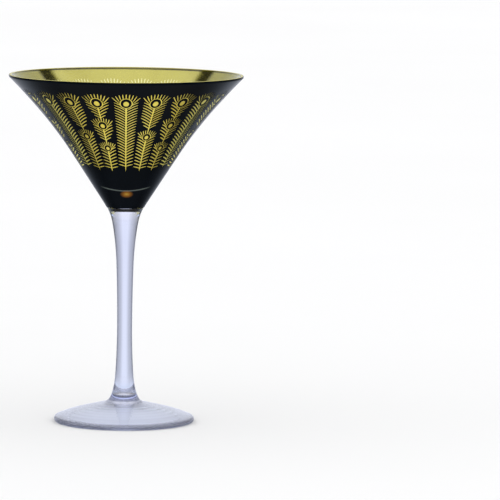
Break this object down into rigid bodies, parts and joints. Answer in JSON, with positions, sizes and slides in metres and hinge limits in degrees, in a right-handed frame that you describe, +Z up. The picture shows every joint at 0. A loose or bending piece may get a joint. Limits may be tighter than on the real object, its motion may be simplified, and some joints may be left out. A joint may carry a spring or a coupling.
{
  "type": "martini glass",
  "caption": "Martini glass: a flaring cone bowl, gold-plated under black lacquer etched with feathers, on a slender clear stem and a low domed foot.",
  "frame": {"origin": "centre of the foot's resting plane, on the glass's axis", "axes": "+Z up along the axis from the foot to the rim; -Y is the front, and the shape is round about Z"},
  "size_m": [0.125, 0.125, 0.186],
  "materials": {
    "clear_glass": "fire-polished clear glass",
    "gold_plate": "bright satin gold film",
    "black_lacquer": "smooth semi-gloss black with feathers etched through to the gold"
  },
  "bodies": {
    "root": {"foot": "clear_glass", "stem": "clear_glass", "bowl": "clear_glass", "gold_plating": "gold_plate", "black_lacquer": "black_lacquer"}
  },
  "joints": []
}
